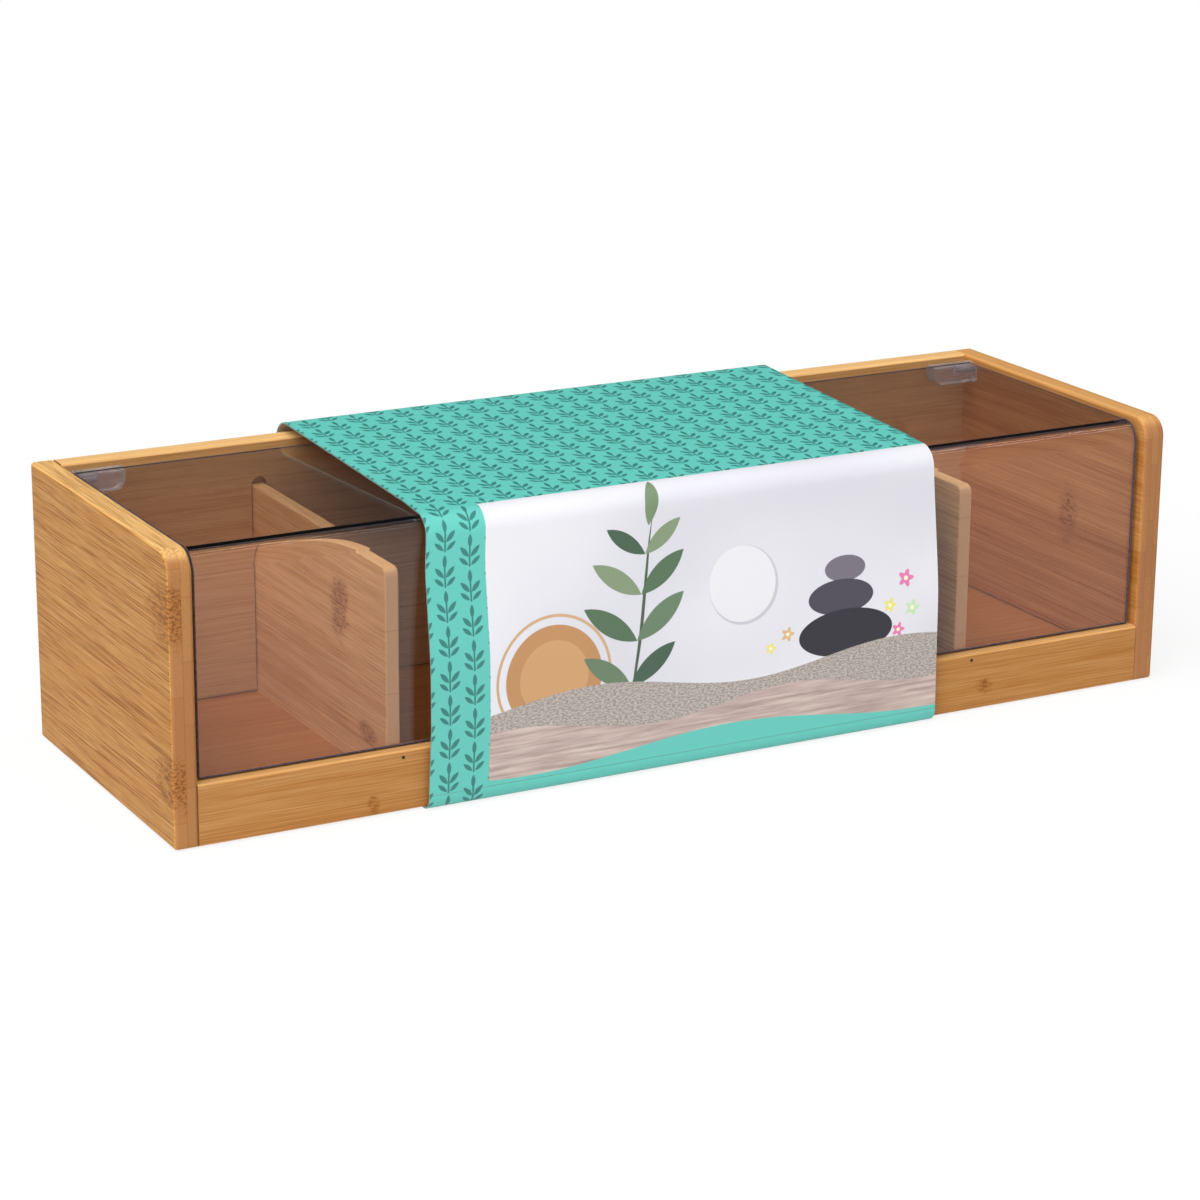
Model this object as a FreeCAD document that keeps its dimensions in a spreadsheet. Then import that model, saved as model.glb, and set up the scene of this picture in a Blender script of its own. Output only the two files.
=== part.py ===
import FreeCAD
import Part
import Sketcher
import math
import os
import re

# Driving sizes, in millimetres

SIZES = [
    ("box_length", 370.0, "bamboo box over both ends"),
    ("box_depth", 120.0, "bamboo box from front to back"),
    ("box_height", 95.0, "bamboo box from underside to top"),
    ("end_board", 8.0, "thickness of the end boards"),
    ("back_board", 8.0, "thickness of the back wall"),
    ("rail_board", 8.0, "thickness of the front rail"),
    ("rail_height", 20.5, "front rail above the box underside"),
    ("end_corner_round", 7.0, "top front corner of the end boards"),
    ("arris_round", 1.2, "worked edges of the boards"),
    ("floor_board", 5.0, "thickness of the floor panel"),
    ("floor_lift", 2.0, "floor panel above the box underside"),
    ("floor_groove_depth", 3.0, "groove that holds the floor panel"),
    ("floor_play", 0.3, "room round the floor panel in its grooves"),
    ("floor_head_room", 0.5, "room over the floor panel in its grooves"),
    ("divider_board", 4.8, "thickness of the dividers"),
    ("divider_height", 71.3, "dividers above the floor panel"),
    ("divider_round", 3.0, "top front corner of the dividers"),
    ("divider_arris", 0.6, "free edges of the dividers"),
    ("divider_groove_depth", 3.0, "grooves in the back wall for the dividers"),
    ("divider_groove_play", 0.4, "room beside a divider in its groove"),
    ("divider_end_play", 0.3, "room behind a divider in its groove"),
    ("brad_diameter", 1.2, "brads through the rail into the dividers"),
    ("brad_in_divider", 11.0, "brad beyond the inner face of the rail"),
    ("brad_height", 18.0, "brads above the box underside"),
    ("brad_fit", 0.01, "room round a brad"),
    ("brad_tip_play", 0.5, "room in front of a brad tip"),
    ("dowel_diameter", 4.0, "dowels of the corner joints"),
    ("dowel_in_end", 5.0, "dowel holes in the end boards"),
    ("dowel_in_board", 14.0, "dowel holes in the back wall and the rail"),
    ("dowel_play", 0.4, "room at the two tips of a dowel"),
    ("dowel_fit", 0.01, "glue room round a dowel"),
    ("low_dowel_height", 26.0, "lower dowels of the back wall"),
    ("high_dowel_height", 70.0, "upper dowels of the back wall"),
    ("rail_dowel_height", 13.0, "dowels of the rail"),
    ("lid_sheet", 2.0, "thickness of the lid"),
    ("lid_drop", 1.5, "lid below the top of the ends"),
    ("lid_setback", 3.0, "lid behind the front of the ends"),
    ("lid_side_gap", 1.6, "lid from each end board"),
    ("lid_foot_gap", 0.4, "lid above the rail"),
    ("lid_bend", 7.0, "outside of the bend in the lid"),
    ("lid_rear_gap", 6.0, "lid in front of the back wall"),
    ("lid_corner", 1.5, "free corners of the lid"),
    ("lid_edge", 0.3, "polished edges of the lid"),
    ("hinge_back", 6.0, "hinge axis in front of the back wall"),
    ("hinge_drop", 4.3, "hinge axis below the top of the lid"),
    ("block_length", 18.5, "hinge blocks along the box"),
    ("block_side_gap", 0.3, "hinge blocks from the end boards"),
    ("block_jaw", 3.0, "hinge blocks under the lid"),
    ("block_spine", 3.0, "hinge blocks behind the lid"),
    ("block_height", 8.6, "hinge blocks below the top of the lid"),
    ("block_corner", 4.0, "inner lower corner of the hinge blocks"),
    ("block_edge", 0.5, "worked edges of the hinge blocks"),
    ("pin_diameter", 3.0, "hinge pins"),
    ("pin_in_block", 9.0, "pin holes in the hinge blocks"),
    ("pin_in_end", 5.0, "pin holes in the end boards"),
    ("pin_play", 0.3, "room at the two tips of a hinge pin"),
    ("pin_press_fit", 0.01, "glue room round a pin in its block"),
    ("pin_running_fit", 0.05, "room round a pin in its end board"),
    ("card_thickness", 0.5, "card of the band"),
    ("band_width", 192.0, "card band along the box"),
    ("band_left", 99.0, "left edge of the band from the middle of the box"),
    ("band_stand_off", 3.0, "band in front of the rail and behind the wall"),
    ("band_loft", 4.0, "rear top corner of the band above the box"),
    ("band_rear_bend", 8.5, "rear top corner of the band"),
    ("band_lid_gap", 0.4, "band from the bend of the lid"),
    ("band_swell_height", 48.0, "upright part of the front of the band"),
    ("band_swell_bend", 120.0, "swell in the front of the band"),
    ("band_foot_bend", 4.0, "lower corners of the band"),
    ("band_lip", 5.0, "lip of the lower part at the front"),
    ("band_seam", 0.2, "open seam between the two parts of the band"),
    ("crease_drop", 5.5, "rear crease of the band below the top of the box"),
]

# Shares and counts

DIVIDER_COUNT = 4
DIVIDER_SPACING = f"(box_length - 2 * end_board + divider_board) / ({DIVIDER_COUNT} + 1)"
FIRST_DIVIDER_SHARE = -(DIVIDER_COUNT - 1) / 2
NEAR_SHARE = 1e-6

doc = FreeCAD.newDocument("compartment_box")
sheet = doc.addObject("Spreadsheet::Sheet", "Sizes")
for row, (alias, value, meaning) in enumerate(SIZES, start=1):
    sheet.set(f"A{row}", meaning)
    sheet.set(f"B{row}", str(value))
    sheet.setAlias(f"B{row}", alias)
doc.recompute()

ALIASES = {alias for alias, value, meaning in SIZES}


# Tools of the workshop

def formula(text):
    """The text with each size name turned into its cell."""
    def cell(word):
        name = word.group()
        return f"Sizes.{name}" if name in ALIASES else name
    return re.sub(r"[a-z_]+", cell, text)


def bind(thing, path, text):
    thing.setExpression(path, formula(text))


def place(thing, across, back, up):
    """Binds the place of a thing whose sizes are counted from the box underside."""
    bind(thing, "Placement.Base.x", across)
    bind(thing, "Placement.Base.y", back)
    bind(thing, "Placement.Base.z", f"{up} + card_thickness")


def new_body(label):
    body = doc.addObject("PartDesign::Body", label)
    body.Label = label
    place(body, "0", "0", "0")
    return body


def origin_feature(body, role):
    return next(item for item in body.Origin.OriginFeatures if item.Role == role)


def new_sketch(body, name, plane, offset="0"):
    """A sketch on one of the body's own planes, moved along the plane's normal."""
    sketch = body.newObject("Sketcher::SketchObject", name)
    sketch.AttachmentSupport = [(origin_feature(body, plane), "")]
    sketch.MapMode = "FlatFace"
    bind(sketch, "AttachmentOffset.Base.z", offset)
    return sketch


def hold(sketch, kind, *terms):
    return sketch.addConstraint(Sketcher.Constraint(kind, *terms))


def hold_point(sketch, geometry, vertex, across, up):
    """Fixes one point of a sketch at two size formulas from the sketch origin."""
    for kind, text in (("DistanceX", across), ("DistanceY", up)):
        number = hold(sketch, kind, -1, 1, geometry, vertex, 1.0)
        bind(sketch, f"Constraints[{number}]", text)


def draw_outline(sketch, corners):
    """A closed outline through corners, each a pair of size formulas."""
    first = len(sketch.Geometry)
    turn = 2 * math.pi / len(corners)
    unit = [FreeCAD.Vector(math.cos(turn * i), math.sin(turn * i), 0) for i in range(len(corners))]
    for start, end in zip(unit, unit[1:] + unit[:1]):
        sketch.addGeometry(Part.LineSegment(start, end))
    for i in range(len(corners)):
        hold(sketch, "Coincident", first + i, 2, first + (i + 1) % len(corners), 1)
    for i, (across, up) in enumerate(corners):
        hold_point(sketch, first + i, 1, across, up)


def draw_rectangle(sketch, left, right, low, high):
    draw_outline(sketch, [(left, low), (right, low), (right, high), (left, high)])


def draw_circle(sketch, across, up, radius):
    number = sketch.addGeometry(Part.Circle(FreeCAD.Vector(0, 0, 0), FreeCAD.Vector(0, 0, 1), 1.0))
    hold_point(sketch, number, 3, across, up)
    bind(sketch, f"Constraints[{hold(sketch, 'Radius', number, 1.0)}]", radius)


def pad(body, sketch, length, symmetric=False, backward=False):
    feature = body.newObject("PartDesign::Pad", f"{sketch.Name}_pad")
    feature.Profile = sketch
    feature.SideType = "Symmetric" if symmetric else "One side"
    feature.Reversed = backward
    bind(feature, "Length", length)
    return feature


def pocket(body, sketch, depth, symmetric=False, backward=False):
    """A cut that has to take something away."""
    doc.recompute()
    volume = body.Tip.Shape.Volume
    feature = body.newObject("PartDesign::Pocket", f"{sketch.Name}_cut")
    feature.Profile = sketch
    feature.SideType = "Symmetric" if symmetric else "One side"
    feature.Reversed = backward
    bind(feature, "Length", depth)
    doc.recompute()
    if not feature.Shape.Volume < volume:
        raise RuntimeError(f"{feature.Label} cuts nothing")
    return feature


def repeat(body, name, originals, spacing, count):
    """A row of copies along the box."""
    feature = body.newObject("PartDesign::LinearPattern", name)
    feature.Originals = originals
    feature.Direction = (origin_feature(body, "X_Axis"), [""])
    feature.Mode = "Spacing"
    bind(feature, "Offset", spacing)
    feature.Occurrences = count
    body.Tip = feature
    return feature


def pick_edges(feature, on=(), off=(), along=None):
    """Names of the edges that lie on all the sides in on and on none of those in off."""
    box = feature.Shape.BoundBox
    near = NEAR_SHARE * box.DiagonalLength
    sides = {
        "left": (0, box.XMin), "right": (0, box.XMax),
        "front": (1, box.YMin), "back": (1, box.YMax),
        "foot": (2, box.ZMin), "top": (2, box.ZMax),
    }

    def lies(edge, side):
        axis, level = sides[side]
        return all(abs(vertex.Point[axis] - level) < near for vertex in edge.Vertexes)

    def runs(edge):
        if along is None:
            return True
        step = edge.Vertexes[-1].Point - edge.Vertexes[0].Point
        return all(abs(step[axis]) < near for axis in range(3) if axis != along)

    names = []
    for number, edge in enumerate(feature.Shape.Edges, start=1):
        if not runs(edge):
            continue
        if any(lies(edge, side) for side in off):
            continue
        if all(lies(edge, side) for side in on):
            names.append(f"Edge{number}")
    return names


def round_edges(body, name, radius, *picks):
    """Rounds the picked edges of the body's last feature."""
    doc.recompute()
    base = body.Tip
    names = sorted({edge for pick in picks for edge in pick_edges(base, **pick)})
    feature = body.newObject("PartDesign::Fillet", name)
    feature.Base = (base, names)
    bind(feature, "Radius", radius)
    doc.recompute()
    return feature


# Levels and faces that several pieces share

FRONT = "-box_depth / 2"
BACK = "box_depth / 2"
RAIL_INSIDE = "(rail_board - box_depth / 2)"
WALL_INSIDE = "(box_depth / 2 - back_board)"
END_INSIDE = "(box_length / 2 - end_board)"
FLOOR_TOP = "(floor_lift + floor_board)"
GROOVE_TOP = "(floor_lift + floor_board + floor_head_room)"
DIVIDER_TOP = "(floor_lift + floor_board + divider_height)"
LID_TOP = "(box_height - lid_drop)"
LID_FRONT = "(lid_setback - box_depth / 2)"
LID_REAR = f"({WALL_INSIDE} - lid_rear_gap)"
HINGE_Y = f"({WALL_INSIDE} - hinge_back)"
HINGE_Z = f"({LID_TOP} - hinge_drop)"
WALL_MIDDLE = "(box_depth / 2 - back_board / 2)"
RAIL_MIDDLE = "(rail_board / 2 - box_depth / 2)"
DOWEL_HOLE = "dowel_diameter / 2 + dowel_fit"
BRAD_HOLE = "brad_diameter / 2 + brad_fit"


def divider_place(number):
    return f"({FIRST_DIVIDER_SHARE + number} * {DIVIDER_SPACING})"


# End boards

def make_end(label, side):
    """side is 1 for the right end and -1 for the left end."""
    body = new_body(label)
    inside = f"{side} * {END_INSIDE}"
    outward = side > 0
    outer, inner = ("right", "left") if outward else ("left", "right")

    board = new_sketch(body, f"{label}_board", "YZ_Plane", inside)
    draw_rectangle(board, FRONT, BACK, "0", "box_height")
    pad(body, board, "end_board", backward=not outward)
    round_edges(body, f"{label}_corner", "end_corner_round", {"on": ("front", "top")})
    round_edges(
        body, f"{label}_arris", "arris_round",
        {"on": (outer,)},
        {"on": (inner,), "off": ("back", "foot")},
        {"on": ("back", "foot")},
        {"on": ("back", "top")},
        {"on": ("front", "foot")},
    )

    groove = new_sketch(body, f"{label}_floor_groove", "YZ_Plane", inside)
    draw_rectangle(
        groove, f"{RAIL_INSIDE} - floor_groove_depth", f"{WALL_INSIDE} + floor_groove_depth",
        "floor_lift", GROOVE_TOP,
    )
    pocket(body, groove, "floor_groove_depth", backward=outward)

    dowels = new_sketch(body, f"{label}_dowel_holes", "YZ_Plane", inside)
    draw_circle(dowels, WALL_MIDDLE, "low_dowel_height", DOWEL_HOLE)
    draw_circle(dowels, WALL_MIDDLE, "high_dowel_height", DOWEL_HOLE)
    draw_circle(dowels, RAIL_MIDDLE, "rail_dowel_height", DOWEL_HOLE)
    pocket(body, dowels, "dowel_in_end", backward=outward)

    bearing = new_sketch(body, f"{label}_pin_hole", "YZ_Plane", inside)
    draw_circle(bearing, HINGE_Y, HINGE_Z, "pin_diameter / 2 + pin_running_fit")
    pocket(body, bearing, "pin_in_end", backward=outward)
    return body


# Long boards between the ends

def cut_dowel_holes(body, label, back, heights):
    """Blind dowel holes in both ends of a long board."""
    for side, word in ((-1, "left"), (1, "right")):
        sketch = new_sketch(body, f"{label}_{word}_holes", "YZ_Plane", f"{side} * {END_INSIDE}")
        for height in heights:
            draw_circle(sketch, back, height, DOWEL_HOLE)
        pocket(body, sketch, "dowel_in_board", backward=side < 0)


def make_back_wall():
    body = new_body("back_wall")
    board = new_sketch(body, "wall_board", "YZ_Plane")
    draw_rectangle(board, WALL_INSIDE, BACK, "0", "box_height")
    pad(body, board, f"2 * {END_INSIDE}", symmetric=True)
    round_edges(
        body, "wall_arris", "arris_round",
        {"on": ("top",), "along": 0},
        {"on": ("back", "foot"), "along": 0},
    )

    groove = new_sketch(body, "wall_floor_groove", "YZ_Plane")
    draw_rectangle(groove, WALL_INSIDE, f"{WALL_INSIDE} + floor_groove_depth", "floor_lift", GROOVE_TOP)
    pocket(body, groove, "box_length", symmetric=True)
    cut_dowel_holes(body, "wall", WALL_MIDDLE, ("low_dowel_height", "high_dowel_height"))

    first = divider_place(0)
    half = "(divider_board / 2 + divider_groove_play)"
    slot = new_sketch(body, "divider_groove", "XZ_Plane", f"-{WALL_INSIDE}")
    draw_rectangle(slot, f"{first} - {half}", f"{first} + {half}", FLOOR_TOP, DIVIDER_TOP)
    straight = pocket(body, slot, "divider_groove_depth")
    head = new_sketch(body, "divider_groove_head", "XZ_Plane", f"-{WALL_INSIDE}")
    draw_circle(head, first, DIVIDER_TOP, half)
    rounded = pocket(body, head, "divider_groove_depth")
    repeat(body, "divider_grooves", [straight, rounded], DIVIDER_SPACING, DIVIDER_COUNT)
    return body


def make_front_rail():
    body = new_body("front_rail")
    board = new_sketch(body, "rail_board_outline", "YZ_Plane")
    draw_rectangle(board, FRONT, RAIL_INSIDE, "0", "rail_height")
    pad(body, board, f"2 * {END_INSIDE}", symmetric=True)
    round_edges(
        body, "rail_arris", "arris_round",
        {"on": ("top",), "along": 0},
        {"on": ("front", "foot"), "along": 0},
    )

    groove = new_sketch(body, "rail_floor_groove", "YZ_Plane")
    draw_rectangle(groove, f"{RAIL_INSIDE} - floor_groove_depth", RAIL_INSIDE, "floor_lift", GROOVE_TOP)
    pocket(body, groove, "box_length", symmetric=True)
    cut_dowel_holes(body, "rail", RAIL_MIDDLE, ("rail_dowel_height",))

    hole = new_sketch(body, "brad_hole", "XZ_Plane", f"-({FRONT})")
    draw_circle(hole, divider_place(0), "brad_height", BRAD_HOLE)
    drilled = pocket(body, hole, "rail_board")
    repeat(body, "brad_holes", [drilled], DIVIDER_SPACING, DIVIDER_COUNT)
    return body


# Floor panel and dividers

def make_floor():
    body = new_body("floor_panel")
    board = new_sketch(body, "floor_outline", "XY_Plane", "floor_lift")
    tongue = "(floor_groove_depth - floor_play)"
    draw_rectangle(
        board, f"-({END_INSIDE} + {tongue})", f"{END_INSIDE} + {tongue}",
        f"{RAIL_INSIDE} - {tongue}", f"{WALL_INSIDE} + {tongue}",
    )
    pad(body, board, "floor_board")
    return body


def make_divider(number):
    label = f"divider_{number + 1}"
    body = new_body(label)
    board = new_sketch(body, f"{label}_board", "YZ_Plane", divider_place(number))
    draw_rectangle(
        board, RAIL_INSIDE, f"{WALL_INSIDE} + divider_groove_depth - divider_end_play",
        FLOOR_TOP, DIVIDER_TOP,
    )
    pad(body, board, "divider_board", symmetric=True)
    round_edges(body, f"{label}_corner", "divider_round", {"on": ("front", "top")})
    round_edges(
        body, f"{label}_arris", "divider_arris",
        {"on": ("left",), "off": ("back", "foot")},
        {"on": ("right",), "off": ("back", "foot")},
    )
    hole = new_sketch(body, f"{label}_brad_hole", "XZ_Plane", f"-{RAIL_INSIDE}")
    draw_circle(hole, divider_place(number), "brad_height", BRAD_HOLE)
    pocket(body, hole, "brad_in_divider")
    return body


# Bent lid and its hinge blocks

def make_lid():
    body = new_body("lid")
    section = new_sketch(body, "lid_section", "YZ_Plane")
    draw_outline(section, [
        (LID_FRONT, "rail_height + lid_foot_gap"),
        (LID_FRONT, LID_TOP),
        (LID_REAR, LID_TOP),
        (LID_REAR, f"{LID_TOP} - lid_sheet"),
        (f"{LID_FRONT} + lid_sheet", f"{LID_TOP} - lid_sheet"),
        (f"{LID_FRONT} + lid_sheet", "rail_height + lid_foot_gap"),
    ])
    pad(body, section, f"2 * ({END_INSIDE} - lid_side_gap)", symmetric=True)
    sides = ("left", "right", "front", "back", "foot", "top")
    round_edges(body, "lid_inner_bend", "lid_bend - lid_sheet", {"off": sides, "along": 0})
    round_edges(body, "lid_outer_bend", "lid_bend", {"on": ("front", "top")})
    round_edges(
        body, "lid_corners", "lid_corner",
        {"on": ("left", "foot"), "along": 1},
        {"on": ("right", "foot"), "along": 1},
    )
    round_edges(body, "lid_edges", "lid_edge", {"on": ("foot",), "along": 0}, {"on": ("back", "top")})
    return body


def make_hinge_block(label, side):
    body = new_body(label)
    outward = side > 0
    face = f"{side} * ({END_INSIDE} - block_side_gap)"
    inner = "left" if outward else "right"

    section = new_sketch(body, f"{label}_section", "YZ_Plane", face)
    jaw = f"{LID_REAR} - block_jaw"
    spine = f"{LID_REAR} + block_spine"
    foot = f"{LID_TOP} - block_height"
    underside = f"{LID_TOP} - lid_sheet"
    draw_outline(section, [
        (jaw, foot), (spine, foot), (spine, LID_TOP),
        (LID_REAR, LID_TOP), (LID_REAR, underside), (jaw, underside),
    ])
    pad(body, section, "block_length", backward=outward)
    round_edges(body, f"{label}_corner", "block_corner", {"on": (inner, "foot")})
    round_edges(
        body, f"{label}_edges", "block_edge",
        {"on": ("back", "top")}, {"on": ("back",), "off": ("top", "left", "right")},
        {"on": ("front",), "off": ("top", "left", "right"), "along": 0},
    )

    hole = new_sketch(body, f"{label}_pin_hole", "YZ_Plane", face)
    draw_circle(hole, HINGE_Y, HINGE_Z, "pin_diameter / 2 + pin_press_fit")
    pocket(body, hole, "pin_in_block", backward=not outward)
    return body


# Pins, dowels and brads

ALONG_X = FreeCAD.Rotation(FreeCAD.Vector(0, 1, 0), 90)
ALONG_Y = FreeCAD.Rotation(FreeCAD.Vector(1, 0, 0), -90)


def make_rod(label, radius, length, turn, across, back, up):
    """A round rod that starts at a place and runs along X or Y."""
    rod = doc.addObject("Part::Cylinder", label)
    rod.Label = label
    rod.Placement = FreeCAD.Placement(FreeCAD.Vector(), turn)
    bind(rod, "Radius", radius)
    bind(rod, "Height", length)
    place(rod, across, back, up)
    return rod


def make_hinge_pin(label, side):
    length = "(pin_in_block + block_side_gap + pin_in_end - 2 * pin_play)"
    tip = f"({END_INSIDE} + pin_in_end - pin_play)"
    start = f"{tip} - {length}" if side > 0 else f"-{tip}"
    return make_rod(label, "pin_diameter / 2", length, ALONG_X, start, HINGE_Y, HINGE_Z)


def make_dowel(label, side, back, up):
    length = "(dowel_in_board + dowel_in_end - 2 * dowel_play)"
    tip = f"({END_INSIDE} + dowel_in_end - dowel_play)"
    start = f"{tip} - {length}" if side > 0 else f"-{tip}"
    return make_rod(label, "dowel_diameter / 2", length, ALONG_X, start, back, up)


def make_group(label, rods):
    group = doc.addObject("Part::Compound", label)
    group.Label = label
    group.Links = rods
    return group


# Card band

def size(name):
    return float(sheet.get(name))


half_card = size("card_thickness") / 2


def rounded_path(corners):
    """A path in the upright plane across the box; each corner is (back, up, bend)."""
    points = [FreeCAD.Vector(0, back, up) for back, up, bend in corners]
    edges = []
    start = points[0]
    for before, corner, after, (back, up, bend) in zip(points, points[1:], points[2:], corners[1:]):
        to_before = (before - corner).normalize()
        to_after = (after - corner).normalize()
        half = to_before.getAngle(to_after) / 2
        first = corner + to_before * (bend / math.tan(half))
        last = corner + to_after * (bend / math.tan(half))
        inward = (to_before + to_after).normalize()
        middle = corner + inward * (bend / math.sin(half) - bend)
        edges.append(Part.makeLine(start, first))
        edges.append(Part.Arc(first, middle, last).toShape())
        start = last
    edges.append(Part.makeLine(start, points[-1]))
    return Part.Wire(edges)


def make_card(label, corners):
    """Card folded along a path through the middle of its thickness, with round ends."""
    face = rounded_path(corners).makeOffset2D(half_card, fill=True)
    card = doc.addObject("Part::Feature", label)
    card.Label = label
    card.Shape = face.extrude(FreeCAD.Vector(size("band_width"), 0, 0))
    card.Placement = FreeCAD.Placement(FreeCAD.Vector(-size("band_left"), 0, 0), FreeCAD.Rotation())
    return card


panel_face = size("box_depth") / 2 + size("band_stand_off") + half_card
crease_level = size("card_thickness") + size("box_height") - size("crease_drop")
lip_level = size("band_lip")
meeting = size("card_thickness") + size("band_seam")
loft_level = size("card_thickness") + size("box_height") + size("band_loft") + half_card
lid_level = size("card_thickness") + size("box_height") - size("lid_drop")
lid_face = size("box_depth") / 2 - size("lid_setback")
lid_stand_off = size("band_lid_gap") + half_card


def make_band_base():
    return make_card("sleeve_base", [
        (panel_face, crease_level - meeting, 0.0),
        (panel_face, half_card, size("band_foot_bend")),
        (-panel_face, half_card, size("band_foot_bend")),
        (-panel_face, lip_level, 0.0),
    ])


def make_band_flap():
    return make_card("sleeve_flap", [
        (panel_face, crease_level, 0.0),
        (panel_face, loft_level, size("band_rear_bend")),
        (-lid_face - lid_stand_off, lid_level + lid_stand_off, size("lid_bend") + lid_stand_off),
        (-panel_face, size("band_swell_height"), size("band_swell_bend")),
        (-panel_face, lip_level + meeting, 0.0),
    ])


# The assembly

pieces = [
    make_end("left_end", -1),
    make_end("right_end", 1),
    make_back_wall(),
    make_front_rail(),
    make_floor(),
]
pieces += [make_divider(number) for number in range(DIVIDER_COUNT)]
pieces += [
    make_lid(),
    make_hinge_block("hinge_block_left", -1),
    make_hinge_block("hinge_block_right", 1),
    make_hinge_pin("hinge_pin_left", -1),
    make_hinge_pin("hinge_pin_right", 1),
]
pieces.append(make_group("back_wall_dowels", [
    make_dowel("low_dowel_left", -1, WALL_MIDDLE, "low_dowel_height"),
    make_dowel("low_dowel_right", 1, WALL_MIDDLE, "low_dowel_height"),
    make_dowel("high_dowel_left", -1, WALL_MIDDLE, "high_dowel_height"),
    make_dowel("high_dowel_right", 1, WALL_MIDDLE, "high_dowel_height"),
]))
pieces.append(make_group("front_rail_dowels", [
    make_dowel("rail_dowel_left", -1, RAIL_MIDDLE, "rail_dowel_height"),
    make_dowel("rail_dowel_right", 1, RAIL_MIDDLE, "rail_dowel_height"),
]))
pieces.append(make_group("divider_brads", [
    make_rod(
        f"brad_{number + 1}", "brad_diameter / 2", "rail_board + brad_in_divider - brad_tip_play",
        ALONG_Y, divider_place(number), FRONT, "brad_height",
    )
    for number in range(DIVIDER_COUNT)
]))
pieces += [make_band_base(), make_band_flap()]
doc.recompute()

for item in doc.Objects:
    if "Invalid" in item.State or "Error" in item.State:
        raise RuntimeError(f"{item.Label}: {item.State}")
for piece in pieces:
    if piece.Shape.isNull() or not piece.Shape.isValid():
        raise RuntimeError(f"{piece.Label}: no valid shape")

os.makedirs("parts", exist_ok=True)
for piece in pieces:
    piece.Shape.exportStep(f"parts/{piece.Label}.step")
    box = piece.Shape.BoundBox
    print(
        f"{piece.Label:18s} {len(piece.Shape.Solids)} solids  volume {piece.Shape.Volume:10.1f}"
        f"  x {box.XMin:8.2f} {box.XMax:8.2f}  y {box.YMin:7.2f} {box.YMax:7.2f}"
        f"  z {box.ZMin:7.2f} {box.ZMax:7.2f}"
    )
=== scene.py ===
"""Dresses the bamboo compartment box: board finishes, the bent smoked lid and the printed card band."""
import math

import bmesh
import bpy
from mathutils import Matrix, Vector


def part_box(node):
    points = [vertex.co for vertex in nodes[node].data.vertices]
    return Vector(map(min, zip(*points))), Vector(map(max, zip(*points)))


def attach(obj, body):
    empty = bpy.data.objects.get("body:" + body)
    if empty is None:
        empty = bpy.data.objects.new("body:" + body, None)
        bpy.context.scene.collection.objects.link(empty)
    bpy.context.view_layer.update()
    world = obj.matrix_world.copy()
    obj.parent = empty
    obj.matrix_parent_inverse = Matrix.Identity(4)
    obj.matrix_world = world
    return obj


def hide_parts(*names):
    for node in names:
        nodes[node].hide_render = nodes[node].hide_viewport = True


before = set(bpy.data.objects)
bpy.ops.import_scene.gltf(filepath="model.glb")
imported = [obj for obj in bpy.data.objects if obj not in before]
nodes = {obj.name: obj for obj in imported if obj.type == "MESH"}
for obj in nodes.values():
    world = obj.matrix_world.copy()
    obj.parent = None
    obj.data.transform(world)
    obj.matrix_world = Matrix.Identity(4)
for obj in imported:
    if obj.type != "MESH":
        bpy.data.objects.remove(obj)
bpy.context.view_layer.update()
scene = bpy.context.scene


def tint(red, green, blue):
    """A colour as it looks on a screen, 0 to 255, in the linear values that shaders take."""
    return tuple(((c / 255 + 0.055) / 1.055) ** 2.4 for c in (red, green, blue)) + (1.0,)


def grey(level):
    """A grey in linear values, white at 1."""
    return level, level, level, 1.0


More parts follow.
